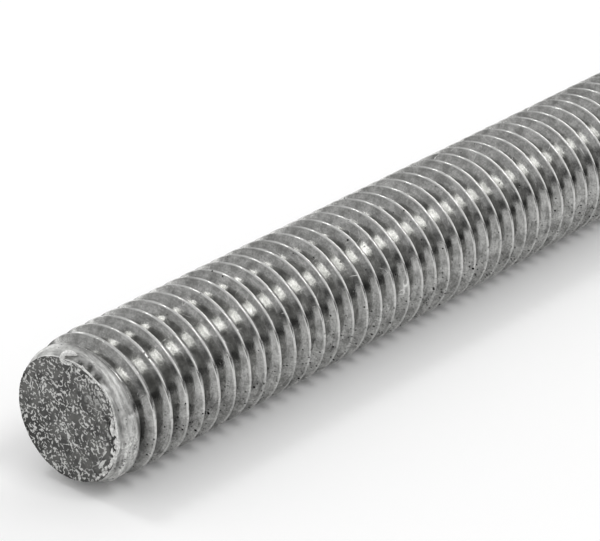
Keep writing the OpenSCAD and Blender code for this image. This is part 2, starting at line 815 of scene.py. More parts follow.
        # The steel behind the torn strip is pushed up, and the rim is pushed out
        swollen = ramp(inside + 14, 14) * math.exp(-((place.x - 0.62) / 0.26) ** 2)
        rise = near.swell * swollen * (1 + 0.3 * fine) * (1 - vert[torn])
        rise -= near.tear_depth * vert[torn] * (0.75 + 0.6 * noise.noise(place * 4.3))
        rise -= 0.035 * max(0.0, 1 - place.x / near.fine_from) * max(-0.3, fine)
        rise += near.strip_rise * strip * ramp(radius - 4.5, 0.1)
        rise += near.pushed_out(angle) * max(0.0, 1 - place.x / 0.85)
        return min(radius + rise, self.thread.radius - 0.01) / radius

    def flatten_flanks(self, mesh: bpy.types.Mesh) -> None:
        """Keeps the flanks' shading flat, and leaves the bend to the small roots and crests.

        Args:
            mesh: The finished rod. Its torn rim and its flat faces keep their own shading.
        """
        low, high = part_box(NODE)
        first, last = low.x + self.near.groove_starts_at * MM, high.x - self.far.chamfer * MM
        shape = bmesh.new()
        shape.from_mesh(mesh)
        pulls = [face.normal * (face.calc_area() / MM**2) ** 2 for face in shape.faces]
        normals = [
            sum((pulls[face.index] for face in vert.link_faces), Vector()).normalized()
            if first < vert.co.x < last else Vector() for vert in shape.verts]
        shape.free()
        mesh.normals_split_custom_set_from_vertices(normals)

    def helix_tree(self, values: dict) -> bpy.types.NodeTree:
        """Builds the tree that wraps a grid into the rod, with the outline's stations as its rows.

        A row of the grid runs once around, and climbs one pitch as it does, so its end meets the
        start of the row one turn further on. Rows past an end are held at the end's plane and merge.

        Args:
            values: Input name to value.

        Returns:
            The tree.
        """
        tree = new_geometry_tree("rolled_thread", values)
        add = partial(add_node, tree)
        given = tree.nodes.new("NodeGroupInput").outputs

        # Which row and column of the grid a point is in, and how far around and along that puts it
        thread_rows = add(WHOLE, (given["Stations"], given["Turns"]), operation="MULTIPLY")
        rows = add(WHOLE, (given["Face Rings"], 2, thread_rows), operation="MULTIPLY_ADD")
        columns = add(WHOLE, (given["Segments"], 1), operation="ADD")
        grid = add("GeometryNodeMeshGrid", {"Vertices X": columns, "Vertices Y": rows})
        index = add("GeometryNodeInputIndex")
        column = add(WHOLE, (index, rows), operation="DIVIDE")
        row = add(WHOLE, (index, rows), operation="MODULO")
        around = add(MATH, (column, given["Segments"]), operation="DIVIDE")
        past_face = add(WHOLE, (row, given["Face Rings"]), operation="SUBTRACT")
        last_thread_row = add(WHOLE, (thread_rows, 1), operation="SUBTRACT")
        not_before = add(WHOLE, (past_face, 0), operation="MAXIMUM")
        thread_row = add(WHOLE, (not_before, last_thread_row), operation="MINIMUM")
        turn = add(WHOLE, (thread_row, given["Stations"]), operation="DIVIDE")
        station = add(WHOLE, (thread_row, given["Stations"]), operation="MODULO")

        # The outline's point for this row
        shape = add("GeometryNodeObjectInfo", {"Object": given["Outline"]})
        place = add("GeometryNodeInputPosition").outputs["Position"]
        sampled = add("GeometryNodeSampleIndex", {
            "Geometry": shape.outputs["Geometry"], "Value": place, "Index": station},
            data_type="FLOAT_VECTOR", domain="POINT")
        point = add(SEPARATE, (sampled,)).outputs

        # How far along the rod: the crest climbs one pitch a turn, and meets the face at Start Turn
        turns_done = add(MATH, (turn, around), operation="ADD")
        lag = add(MATH, (given["Start Turn"], 1.0), operation="ADD")
        crest_turn = add(MATH, (turns_done, lag), operation="SUBTRACT")
        free_along = add(MATH, (crest_turn, given["Pitch"], point["X"]), operation="MULTIPLY_ADD")
        along = add("ShaderNodeClamp", {"Value": free_along, "Min": 0.0, "Max": given["Length"]})
        envelope = self.envelope(add, given, along)

        # The groove's depth below the envelope, which fades in over the first turn
        rising = add(MATH, (point["X"], 0.0), operation="LESS_THAN")
        groove_turn = add(MATH, (crest_turn, rising), operation="SUBTRACT")
        groove_middle = add(MATH, (groove_turn, 0.5), operation="ADD")
        groove_at = add(MATH, (groove_middle, given["Pitch"]), operation="MULTIPLY")
        fade = add(MAP_RANGE, (
            groove_at, given["Groove Starts At"], given["Groove Full At"]), interpolation_type="SMOOTHSTEP")
        below = add(MATH, (envelope, point["Z"]), operation="SUBTRACT")
        depth = add(MATH, (below, 0.0), operation="MAXIMUM")
        cut = add(MATH, (depth, fade), operation="MULTIPLY")
        wall = add(MATH, (envelope, cut), operation="SUBTRACT")

        # Near the sawn end the crests are cut down, and a lower crest reaches further along its flanks
        cut_down = add(MATH, (point["Z"], envelope), operation="SUBTRACT", use_clamp=True)
        side = add(MATH, (point["X"],), operation="SIGN")
        reach = add(MATH, (cut_down, side), operation="MULTIPLY")
        near_half = add(MATH, (given["Length"], 0.5), operation="MULTIPLY")
        in_half = add(MATH, (along, near_half), operation="LESS_THAN")
        sloped = add(MATH, (fade, in_half), operation="MULTIPLY")
        spread_by = add(MATH, (sloped, math.tan(math.radians(30))), operation="MULTIPLY")
        along = add(MATH, (reach, spread_by, along), operation="MULTIPLY_ADD")

        # Across the flat ends the radius shrinks to nothing, ring by ring
        near_share = add(MATH, (row, given["Face Rings"]), operation="DIVIDE", use_clamp=True)
        last_row = add(WHOLE, (rows, 1), operation="SUBTRACT")
        from_last = add(WHOLE, (last_row, row), operation="SUBTRACT")
        far_share = add(MATH, (from_last, given["Face Rings"]), operation="DIVIDE", use_clamp=True)
        share = add(MATH, (near_share, far_share), operation="MULTIPLY")
        radius = add(MATH, (wall, share), operation="MULTIPLY")

        # Wrap it round the axis
        flat = add(COMBINE, {"X": along, "Y": radius})
        angle = add(MATH, (around, math.tau), operation="MULTIPLY")
        turned = add("ShaderNodeVectorRotate", {"Vector": flat, "Angle": angle}, rotation_type="X_AXIS")
        seat = add(COMBINE, {"X": given["Near Face"], "Z": given["Axis Height"]})
        spot = add(VECTOR_MATH, (turned, seat), operation="ADD")
        wrapped = add("GeometryNodeSetPosition", {"Geometry": grid.outputs["Mesh"], "Position": spot})

        # Where the crests and the ungrooved ring are, for the finish
        low_edge = add(MATH, (given["Radius"], 0.05 * MM), operation="SUBTRACT")
        at_crest = add(MATH, (point["Z"], low_edge), operation="GREATER_THAN")
        crest = add(MATH, (at_crest, fade), operation="MULTIPLY")
        ring_end = add(MATH, (given["Groove Starts At"], 0.15 * MM), operation="ADD")
        ring = add(MAP_RANGE, (groove_at, given["Groove Starts At"], ring_end, 1.0, 0.0))
        marked = wrapped
        for name, mark in {"crest": crest, "ring": ring}.items():
            marked = add("GeometryNodeStoreNamedAttribute", {"Geometry": marked, "Name": name, "Value": mark})
        welded = add("GeometryNodeMergeByDistance", {"Geometry": marked, "Distance": 0.0008 * MM})
        self.finish_tree(add, given, place, welded)
        return tree

    def envelope(self, add: Adder, given: bpy.types.NodeOutputs, along: bpy.types.Node) -> bpy.types.Node:
        """Adds the rod's outer limit: the lowest of the chamfer, the run-in, the crests and the far chamfer.

        Args:
            add: What adds a node to the tree.
            given: The tree's inputs.
            along: The distance from the near face.

        Returns:
            The node that gives the greatest radius there.
        """
        face_radius = add(MATH, (given["Radius"], given["Face Drop"]), operation="SUBTRACT")
        chamfer_radius = add(MATH, (given["Radius"], given["Chamfer Drop"]), operation="SUBTRACT")
        chamfer = add(
            MAP_RANGE, (along, 0.0, given["Chamfer Length"], face_radius, chamfer_radius), clamp=False)
        run_in = add(MAP_RANGE, (
            along, given["Chamfer Length"], given["Full Thread At"], chamfer_radius, given["Radius"]),
            clamp=False)
        to_far_end = add(MATH, (given["Length"], along), operation="SUBTRACT")
        far_face = add(MATH, (given["Radius"], given["Far Chamfer"]), operation="SUBTRACT")
        far_slope = add(MATH, (far_face, to_far_end), operation="ADD")
        lowest = chamfer
        for limit in (run_in, far_slope, given["Radius"]):
            lowest = add(MATH, (lowest, limit), operation="MINIMUM")
        return lowest

    def finish_tree(self, add: Adder, given: bpy.types.NodeOutputs, place: bpy.types.NodeSocket,
                    welded: bpy.types.Node) -> None:
        """Adds the sawn end's uneven steel and the finishes, up to the tree's output.

        Args:
            add: What adds a node to the tree.
            given: The tree's inputs.
            place: A point's position.
            welded: The welded rod.
        """
        # The sawn end's torn, uneven steel, pressed inwards only
        spread = add(SEPARATE, (place,)).outputs
        from_face = add(MATH, (spread["X"], given["Near Face"]), operation="SUBTRACT")
        ragged = add(MAP_RANGE, (from_face, 0.0, given["Rough Length"], given["Rough Depth"], 0.004 * MM))
        lumps = add(
            NOISE, {"Vector": place, "W": 3.0, "Scale": 1 / (0.9 * MM), "Detail": 3.0}, noise_dimensions="4D")
        press = add(MATH, (lumps, ragged), operation="MULTIPLY")
        outward = add("GeometryNodeInputNormal")
        inward = add(MATH, (press, -1.0), operation="MULTIPLY")
        dent = add(VECTOR_MATH, (outward, inward), operation="SCALE")
        on_side = add(MATH, (from_face, 0.001 * MM), operation="GREATER_THAN")
        dented = add("GeometryNodeSetPosition", {"Geometry": welded, "Selection": on_side, "Offset": dent})

        # Finishes
        in_face = add(MATH, (from_face, 0.001 * MM), operation="LESS_THAN")
        far_plane = add(MATH, (given["Length"], 0.01 * MM), operation="SUBTRACT")
        in_far = add(MATH, (from_face, far_plane), operation="GREATER_THAN")
        finished = add("GeometryNodeRealizeInstances", {"Geometry": dented})
        for name, where in {"Rolled": True, "Sawn": in_face, "Faced": in_far}.items():
            finished = add("GeometryNodeSetMaterial", {
                "Geometry": finished, "Selection": where, "Material": given[name]})
        add("NodeGroupOutput", {"Mesh": finished})


@dataclass
class MetalSurface:
    """A bare metal, and what its patterns read at the point that is shaded.

    Attributes:
        name: The material's name.
        made: The material.
        tree: Its node tree.
        add: What adds a node to that tree.
        shader: Its shader node.
        place: The point, in Object coordinates.
    """

    name: str
    made: bpy.types.Material = field(init=False)
    tree: bpy.types.NodeTree = field(init=False)
    add: Adder = field(init=False)
    shader: bpy.types.Node = field(init=False)
    place: bpy.types.NodeSocket = field(init=False)

    def __post_init__(self) -> None:
        """Starts the material."""
        self.made = bpy.data.materials.new(self.name)
        self.made.use_nodes = True
        self.tree = self.made.node_tree
        self.add = partial(add_node, self.tree)
        self.shader = self.tree.nodes["Principled BSDF"]
        self.place = self.add("ShaderNodeTexCoord").outputs["Object"]

    def from_axis(self) -> bpy.types.Node:
        """Measures the point from the middle of the rod's axis."""
        return self.add(VECTOR_MATH, (self.place, (0.0, 0.0, AXIS_Z)), operation="SUBTRACT")

    def finished(self, colour: Source, roughness: Source | float, height: Source, strength: float,
                 depth: float) -> bpy.types.Material:
        """Feeds the shader.

        Args:
            colour: The metal's colour.
            roughness: Its roughness.
            height: The relief's height.
            strength: The relief's strength.
            depth: The relief's depth, in millimetres.

        Returns:
            The material.
        """
        bump = self.add("ShaderNodeBump", {"Strength": strength, "Distance": depth * MM, "Height": height})
        sources = {"Metallic": 1.0, "Base Color": colour, "Roughness": roughness, "Normal": bump}
        for name, source in sources.items():
            feed(self.tree, self.shader.inputs[name], source)
        return self.made


@dataclass(frozen=True)
class RolledSteel:
    """Bright rolled steel, as the thread rolls leave it, and the rough ring behind the sawn face.

    The dies press the flanks smooth, which gives soft, cloudy reflections and short highlights.
    The crests are worn brighter and carry a painted highlight, and scale leaves pinhole pits. Sizes are in
    millimetres.

    Attributes:
        light: The steel's lighter clouds.
        dark: Its darker clouds.
        rubbed_and_highlight: The bright crests: worn steel with a painted highlight.
        lip: The thin lip round the sawn face.
        ring: The matt ring's steel.
        ring_dark: The ring's darker streaks.
        torn: The dark floor of the torn strip, also used as painted shade in the first groove and round the
            curl.
        pit: The pits.
        scratch: The hairline scratches.
        grit: The fine dirt on the lower side.
        cloud_size: Width of the clouds.
        grain_size: Width of the fine grain.
        line_size: Width of the lines that the rolls draw around the rod.
        streak_size: Width of the matt ring's streaks.
        mottle_size: Width of the lower side's mottling.
        pit_spacing: Distance between possible pits.
        grit_spacing: Distance between grains of dirt.
        roughness: The flanks' roughness.
        ring_roughness: The ring's roughness.
        groove_shade_keeps: What the painted shade in the bottoms of the first grooves keeps of the steel's
            brightness.
        groove_shade_ends: Distance from the sawn face at which that painted shade ends.
    """

    light: str = "#B8B8B6"
    dark: str = "#8A8A88"
    rubbed_and_highlight: str = "#D6D6D4"
    lip: str = "#F0F0EE"
    ring: str = "#D8D8D6"
    ring_dark: str = "#929290"
    torn: str = "#4E4E4C"
    pit: str = "#2C2C2B"
    scratch: str = "#E6E6E4"
    grit: str = "#2A2A29"
    cloud_size: float = 0.8
    grain_size: float = 0.11
    line_size: float = 0.07
    streak_size: float = 0.28
    mottle_size: float = 0.14
    pit_spacing: float = 0.32
    grit_spacing: float = 0.2
    roughness: float = 0.15
    ring_roughness: float = 0.5
    groove_shade_keeps: float = 0.47
    groove_shade_ends: float = 13.0

    def material(self) -> bpy.types.Material:
        """Builds the material.

        Returns:
            The material, which reads Object coordinates and the crest, ring, lip and torn attributes.
        """
        at = MetalSurface("rolled_steel")
        spread = at.add(SEPARATE, (at.place,)).outputs
        crest, ring, lip, torn = (
            at.add("ShaderNodeAttribute", attribute_name=name).outputs["Fac"]
            for name in ("crest", "ring", "lip", "torn"))
        lower_side = at.add(MAP_RANGE, (spread["Z"], 6.4 * MM, 4.2 * MM, 0.12, 1.0))
        # A pattern squeezed across the rod is drawn out around it
        long_way = at.add("ShaderNodeMapping", {"Vector": at.place, "Scale": (1.0, 0.06, 0.06)})
        ring_way = at.add("ShaderNodeMapping", {"Vector": at.place, "Scale": (1.0, 0.3, 0.3)})

        # Clouds and grain, the lines that the rolls draw around the rod, and the ring's streaks
        clouds, grain, lines, streaks = (
            at.add(NOISE, {
                "Vector": way, "Scale": 1 / (size * MM), "Detail": detail, "Roughness": roughness})
            for way, size, detail, roughness in (
                (at.place, self.cloud_size, 4.0, 0.62), (at.place, self.grain_size, 2.0, 0.5),
                (long_way, self.line_size, 2.0, 0.6), (ring_way, self.streak_size, 5.0, 0.72)))
        line_level = at.add(MAP_RANGE, (lines, 0.3, 0.7, 0.86, 1.1))
        grain_level = at.add(MAP_RANGE, (grain, 0.3, 0.7, 0.8, 1.16))
        # In four dimensions, W sets this noise apart from the others
        mottle = at.add(NOISE, {
            "Vector": at.place, "W": 5.0, "Scale": 1 / (self.mottle_size * MM), "Detail": 2.0,
            "Roughness": 0.7}, noise_dimensions="4D")
        mottle_level = at.add(MAP_RANGE, (mottle, 0.35, 0.65, 0.84, 1.36))

        # The layers of colour, from the flanks' clouds up
        scratch, pit = self.scratches(at), self.pits(at, lower_side)
        cloud_share = at.add(MAP_RANGE, (clouds, 0.36, 0.64))
        colour = at.add(MIX, (cloud_share, linear(self.dark), linear(self.light)), data_type="RGBA")
        for share, layer, blend in (
                (1.0, line_level, "MULTIPLY"),
                (1.0, grain_level, "MULTIPLY"),
                # Worn crests with a painted highlight
                (self.rubbed_and_highlight_share(at, spread, crest, lower_side), linear(self.rubbed_and_highlight), "MIX"),
                (ring, self.ring_colour(at, spread, streaks), "MIX"),
                (lip, linear(self.lip), "MIX"),
                # The torn colour also paints shade in the first groove and round the curl
                (torn, linear(self.torn), "MIX"),
                (scratch, linear(self.scratch), "MIX"),
                (lower_side, mottle_level, "MULTIPLY"),
                # Painted shade in the bottoms of the first grooves
                (1.0, self.groove_shade_level(at, spread, lower_side, ring), "MULTIPLY"),
                (self.grit_share(at, long_way, lower_side), linear(self.grit), "MIX"),
                (pit, linear(self.pit), "MIX")):
            colour = at.add(MIX, (share, colour, layer), data_type="RGBA", blend_type=blend)

        # Roughness: satin flanks, a matt ring and dull pits
        flank_rough = at.add(MAP_RANGE, (clouds, 0.3, 0.7, self.roughness * 0.8, self.roughness * 1.35))
        ring_rough = at.add(MATH, (flank_rough, self.ring_roughness), operation="MAXIMUM")
        rough = at.add(MIX, (ring, flank_rough, ring_rough))
        worst = at.add(MATH, (rough, pit), operation="MAXIMUM")

        # Relief: low clouds, grain and lines on the flanks, deeper streaks on the ring, and the pits
        low_relief = at.add(MATH, (clouds, 1.6), operation="MULTIPLY")
        flank_relief = at.add(MATH, (grain, 0.6, low_relief), operation="MULTIPLY_ADD")
        with_lines = at.add(MATH, (lines, 0.12, flank_relief), operation="MULTIPLY_ADD")
        ring_relief = at.add(MATH, (streaks, 6.0), operation="MULTIPLY")
        both = at.add(MIX, (ring, with_lines, ring_relief))
        scored = at.add(MATH, (scratch, -0.8, both), operation="MULTIPLY_ADD")
        relief = at.add(MATH, (pit, -4.0, scored), operation="MULTIPLY_ADD")
        return at.finished(colour, worst, relief, strength=1.0, depth=0.005)

    def rubbed_and_highlight_share(self, at: MetalSurface, spread: bpy.types.NodeOutputs, crest: Source,
                     lower_side: Source) -> bpy.types.Node:
        """Finds the worn crests and their painted highlight, which is weaker on the side that lies lower and
        at the back.

        Args:
            at: The surface.
            spread: The point's X, Y and Z.
            crest: 1 on a crest.
            lower_side: 1 on the lower side, fading upwards.

        Returns:
            The node that gives how worn and highlit the steel is.
        """
        at_crest = at.add(MAP_RANGE, (crest, 0.93, 0.99))
        dimmed_below = at.add(MAP_RANGE, {"Value": lower_side, "To Min": 1.0, "To Max": 0.5})
        front = at.add(MAP_RANGE, (spread["Y"], 1.7 * MM, 0.3 * MM, 0.1, 1.0))
        highlight_by = at.add(MATH, (dimmed_below, front), operation="MULTIPLY")
        return at.add(MATH, (at_crest, highlight_by), operation="MULTIPLY")

    def ring_colour(self, at: MetalSurface, spread: bpy.types.NodeOutputs, streaks: Source) -> bpy.types.Node:
        """Colours the matt ring, which is streaked around the rod and darker towards the face.

        Args:
            at: The surface.
            spread: The point's X, Y and Z.
            streaks: The ring's noise.

        Returns:
            The node that gives the ring's colour.
        """
        share = at.add(MAP_RANGE, (streaks, 0.34, 0.6))
        steel = at.add(MIX, (share, linear(self.ring_dark), linear(self.ring)), data_type="RGBA")
        inner = at.add(MAP_RANGE, (spread["X"], FACE_X + 0.42 * MM, FACE_X + 0.62 * MM, 0.78, 1.0))
        return at.add(MIX, (1.0, steel, inner), data_type="RGBA", blend_type="MULTIPLY")

    def scratches(self, at: MetalSurface) -> bpy.types.Node:
        """Draws hairline scratches: thin, winding, and only here and there.

        Args:
            at: The surface.

        Returns:
            The node that gives 1 on a scratch.
        """
        hair = at.add(NOISE, {"Vector": at.place, "Scale": 1 / (1.9 * MM), "Detail": 1.0, "Distortion": 0.6})
        off_hair = at.add(MATH, (hair, 0.5), operation="SUBTRACT")
        near_hair = at.add(MATH, (off_hair,), operation="ABSOLUTE")
        hairline = at.add(MAP_RANGE, (near_hair, 0.0, 0.006, 1.0, 0.0))
        chance = at.add(NOISE, {
            "Vector": at.place, "W": 8.0, "Scale": 1 / (1.3 * MM), "Detail": 1.0}, noise_dimensions="4D")
        here = at.add(MAP_RANGE, (chance, 0.6, 0.64))
        return at.add(MATH, (hairline, here), operation="MULTIPLY")

    def grit_share(self, at: MetalSurface, long_way: Source, lower_side: Source) -> bpy.types.Node:
        """Drifts fine grit and dark hairlines over the side that lies lower.

        Args:
            at: The surface.
            long_way: The point, squeezed across the rod.
            lower_side: 1 on the lower side, fading upwards.

        Returns:
            The node that gives how dirty the steel is.
        """
        drift = at.add(NOISE, {
            "Vector": at.place, "W": 21.0, "Scale": 1 / (0.9 * MM), "Detail": 3.0, "Roughness": 0.6},
            noise_dimensions="4D")
        drifted = at.add(MAP_RANGE, (drift, 0.38, 0.56, 0.2, 1.0))
        dirty = at.add(MATH, (lower_side, drifted), operation="MULTIPLY")
        grains = at.add("ShaderNodeTexVoronoi", {"Vector": at.place, "Scale": 1 / (self.grit_spacing * MM)})
        lot = at.add("ShaderNodeSeparateColor", (grains.outputs["Color"],)).outputs
        reach = at.add(MAP_RANGE, (lot["Green"], 0.42, 1.0, 0.04, 0.46))
        in_grain = at.add(MATH, (reach, grains.outputs["Distance"]), operation="SUBTRACT")
        grain_dark = at.add(MAP_RANGE, (in_grain, 0.0, 0.1))
        crease = at.add(NOISE, {
            "Vector": long_way, "W": 33.0, "Scale": 1 / (0.5 * MM), "Detail": 2.0, "Distortion": 0.4},
            noise_dimensions="4D")
        off_crease = at.add(MATH, (crease, 0.5), operation="SUBTRACT")
        near_crease = at.add(MATH, (off_crease,), operation="ABSOLUTE")
        crease_dark = at.add(MAP_RANGE, (near_crease, 0.0, 0.014, 0.55, 0.0))
        marks = at.add(MATH, (grain_dark, crease_dark), operation="MAXIMUM")
        return at.add(MATH, (marks, dirty), operation="MULTIPLY")

    def groove_shade_level(self, at: MetalSurface, spread: bpy.types.NodeOutputs, lower_side: Source,
                  ring: Source) -> bpy.types.Node:
        """Paints shade into the bottoms of the first grooves, on the lower side but not next to the floor.

        Args:
            at: The surface.
            spread: The point's X, Y and Z.
            lower_side: 1 on the lower side, fading upwards.
            ring: 1 on the matt ring, which gets no painted shade.

        Returns:
            The node that gives what is left of the steel's brightness.
        """
        across = at.add(VECTOR_MATH, (at.from_axis(), (0.0, 1.0, 1.0)), operation="MULTIPLY")
        radius = at.add(VECTOR_MATH, (across,), operation="LENGTH")
        groove_shade_share = at.add(MAP_RANGE, (radius, 4.84 * MM, 4.42 * MM))
        shade_ends_at = FACE_X + self.groove_shade_ends * MM
        in_first = at.add(MAP_RANGE, (spread["X"], FACE_X + 5.0 * MM, shade_ends_at, 1.0, 0.0))
        above_floor = at.add(MAP_RANGE, (spread["Z"], 1.2 * MM, 2.6 * MM))
        off_ring = at.add(MAP_RANGE, {"Value": ring, "To Min": 1.0, "To Max": 0.0})
        for share in (lower_side, in_first, above_floor, off_ring):
            groove_shade_share = at.add(MATH, (groove_shade_share, share), operation="MULTIPLY")
        return at.add(MAP_RANGE, {"Value": groove_shade_share, "To Min": 1.0, "To Max": self.groove_shade_keeps})

    def pits(self, at: MetalSurface, lower_side: Source) -> bpy.types.Node:
        """Scatters pinhole pits: some of the cells hold one, few are large, and the top has fewer.

        Args:
            at: The surface.
            lower_side: 1 on the lower side, fading upwards.

        Returns:
            The node that gives 1 in a pit.
        """
        cells = at.add("ShaderNodeTexVoronoi", {"Vector": at.place, "Scale": 1 / (self.pit_spacing * MM)})
        lot = at.add("ShaderNodeSeparateColor", (cells.outputs["Color"],)).outputs
        fewer = at.add(MAP_RANGE, (lower_side, 0.12, 1.0, 0.17, 0.0))
        both_lots = at.add(MATH, (lot["Red"], lot["Green"]), operation="MULTIPLY")
        pit_lot = at.add(MATH, (both_lots, fewer), operation="SUBTRACT")
        size = at.add(MAP_RANGE, (pit_lot, 0.2, 1.0, 0.03, 0.34))
        inside = at.add(MATH, (size, cells.outputs["Distance"]), operation="SUBTRACT")
        return at.add(MAP_RANGE, (inside, 0.0, 0.05))


@dataclass(frozen=True)
class SawnSteel:
    """Sawn and hammered steel: a dull dark face covered in short, curly, brighter flecks.

    Sizes are in millimetres. Places are measured from the axis, along Y and Z.

    Attributes:
        ground: The dark steel between the flecks.
        ground_dark: Its darker blotches.
        fleck: The flecks.
        shade: The darker patch low on the far side.
        smear: The pale smear of joined flecks.
        crack: The crack along the rim.
        fleck_size: Distance between flecks.
        bend_size: Distance over which a fleck curls, and how far its place is pushed.
        break_size: Length of a fleck.
        cluster_size: Width of a cluster of flecks.
        blotch_size: Width of the blotches.
        streak_width: Width of the streaks that lie along the rim.
        streaks_from: Distance from the axis past which the flecks lie along the rim.
        shade_at: Where the darker patch is.
        shade_reach: How far it reaches.
        smear_at: Where the smear is.
        smear_reach: How far the smear reaches.
        roughness: The face's roughness.
    """

    ground: str = "#6E6E6C"
    ground_dark: str = "#525251"
    fleck: str = "#D4D4D2"
    shade: str = "#3E3E3D"
    smear: str = "#ACACAA"
    crack: str = "#343433"
    fleck_size: float = 0.4
    bend_size: float = 0.5
    break_size: float = 0.23
    cluster_size: float = 1.5
    blotch_size: float = 1.1
    streak_width: float = 0.24
    streaks_from: float = 3.25
    shade_at: tuple[float, float] = (3.0, -1.9)
    shade_reach: float = 2.1
    smear_at: tuple[float, float] = (-2.45, 2.35)
    smear_reach: float = 1.25
    roughness: float = 0.5

    def material(self) -> bpy.types.Material:
        """Builds the material.

        Returns:
            The material, which reads Object coordinates and the torn attribute.
        """
        at = MetalSurface("sawn_steel")
        # Turned half round the axis, so that the angle's jump lies at the back
        turned = at.add(VECTOR_MATH, (at.from_axis(), (0.0, -1.0, -1.0)), operation="MULTIPLY")
        breaks = at.add(NOISE, {"Vector": at.place, "Scale": 1 / (self.break_size * MM), "Detail": 1.0})
        streak, by_rim = self.streaks(at, turned)
        fleck = at.add(MIX, (by_rim, self.curls(at, breaks), streak))

        blotches = at.add(NOISE, {"Vector": at.place, "Scale": 1 / (self.blotch_size * MM), "Detail": 2.0})
        blotch = at.add(MAP_RANGE, (blotches, 0.4, 0.6))
        ragged = at.add(MAP_RANGE, (blotches, 0.36, 0.56, 0.35, 1.0))
        in_shade = self.spot(at, turned, ragged, self.shade_at, self.shade_reach, 0.6)
        wisps = at.add(MAP_RANGE, (breaks, 0.43, 0.57))
        in_smear = self.spot(at, turned, wisps, self.smear_at, self.smear_reach, 0.2)
        torn = at.add("ShaderNodeAttribute", attribute_name="torn").outputs["Fac"]
        colour = at.add(MIX, (blotch, linear(self.ground_dark), linear(self.ground)), data_type="RGBA")
        for share, layer in (
                (in_shade, self.shade), (fleck, self.fleck), (in_smear, self.smear), (torn, self.crack)):
            colour = at.add(MIX, (share, colour, linear(layer)), data_type="RGBA")
        return at.finished(colour, self.roughness, fleck, strength=0.6, depth=0.02)

    def curls(self, at: MetalSurface, breaks: Source) -> bpy.types.Node:
        """Draws the curly flecks along the middle values of a noise in bent space.

        Args:
            at: The surface.
            breaks: The noise that breaks them up.

        Returns:
            The node that gives 1 on a fleck.
        """
        bend = at.add(NOISE, {"Vector": at.place, "Scale": 1 / (self.bend_size * MM), "Detail": 1.0})
        middle = (0.5, 0.5, 0.5)
        centred = at.add(VECTOR_MATH, (bend.outputs["Color"], middle), operation="SUBTRACT")
        push = at.add(VECTOR_MATH, (centred, self.bend_size * MM), operation="SCALE")
        bent = at.add(VECTOR_MATH, (at.place, push), operation="ADD")
        winding = at.add(NOISE, {"Vector": bent, "Scale": 1 / (self.fleck_size * MM), "Detail": 1.5})
        off_middle = at.add(MATH, (winding, 0.5), operation="SUBTRACT")
        ridge = at.add(MATH, (off_middle,), operation="ABSOLUTE")
        line = at.add(MAP_RANGE, (ridge, 0.03, 0.07, 1.0, 0.0))
        clusters = at.add(NOISE, {"Vector": at.place, "Scale": 1 / (self.cluster_size * MM), "Detail": 1.0})
        both = at.add(MATH, (clusters, 0.55, breaks), operation="MULTIPLY_ADD")
        kept = at.add(MAP_RANGE, (both, 0.71, 0.8))
        return at.add(MATH, (line, kept), operation="MULTIPLY")

    def streaks(self, at: MetalSurface, turned: Source) -> tuple[bpy.types.Node, bpy.types.Node]:
        """Draws streaks along the rim, which take the flecks' place on the lower right.

        Args:
            at: The surface.
            turned: The offset from the axis, turned half round.

        Returns:
            The node that gives 1 on a streak, and the one that gives 1 where the streaks are.
        """
        out = at.add(VECTOR_MATH, (turned,), operation="LENGTH")
        sides = at.add(SEPARATE, (turned,)).outputs
        around = at.add(MATH, (sides["Z"], sides["Y"]), operation="ARCTAN2")
        stretched = at.add(COMBINE, (
            at.add(MATH, (out, 1 / (self.streak_width * MM)), operation="MULTIPLY"),
            at.add(MATH, (around, 6.5), operation="MULTIPLY")))
        strands = at.add(NOISE, {"Vector": stretched, "Scale": 1.0, "Detail": 2.0, "Distortion": 0.5})
        streak = at.add(MAP_RANGE, (strands, 0.54, 0.6))
        far_out = at.add(MAP_RANGE, (out, self.streaks_from * MM, (self.streaks_from + 0.3) * MM))
        past_level = at.add(MAP_RANGE, (around, -0.3, -0.05))
        not_under = at.add(MAP_RANGE, (around, 1.05, 0.8))
        low_right = at.add(MATH, (past_level, not_under), operation="MULTIPLY")
        return streak, at.add(MATH, (low_right, far_out), operation="MULTIPLY")

    def spot(self, at: MetalSurface, turned: Source, ragged: Source, centre: tuple[float, float],
             reach: float, full: float) -> bpy.types.Node:
        """Marks a soft, ragged spot on the face.

        Args:
            at: The surface.
            turned: The offset from the axis, turned half round.
            ragged: What breaks the spot up.
            centre: The spot's middle.
            reach: How far it reaches.
            full: How far from the middle it is still at full strength.

        Returns:
            The node that gives 1 in the spot's middle.
        """
        middle = (0.0, -centre[0] * MM, -centre[1] * MM)
        away = at.add(VECTOR_MATH, (turned, middle), operation="DISTANCE")
        inside = at.add(MAP_RANGE, (away, reach * MM, full * MM))
        return at.add(MATH, (inside, ragged), operation="MULTIPLY")


@dataclass(frozen=True)
class BurrSteel:
    """Freshly torn steel: the pale, satin slivers that a saw leaves. Sizes are in millimetres.

    Attributes:
        pale: The steel.
        shade: Its darker mottling.
        mottle_size: Width of the mottling.
        roughness: Its roughness.
    """

    pale: str = "#F6F6F4"
    shade: str = "#C2C2C0"
    mottle_size: float = 0.16
    roughness: float = 0.58

    def material(self) -> bpy.types.Material:
        """Builds the material.

        Returns:
            The material, which reads Object coordinates.
        """
        at = MetalSurface("torn_steel_burr")
        mottle = at.add(NOISE, {
            "Vector": at.place, "Scale": 1 / (self.mottle_size * MM), "Detail": 3.0, "Roughness": 0.65})
        share = at.add(MAP_RANGE, (mottle, 0.35, 0.6))
        colour = at.add(MIX, (share, linear(self.shade), linear(self.pale)), data_type="RGBA")
        return at.finished(colour, self.roughness, mottle, strength=0.7, depth=0.006)


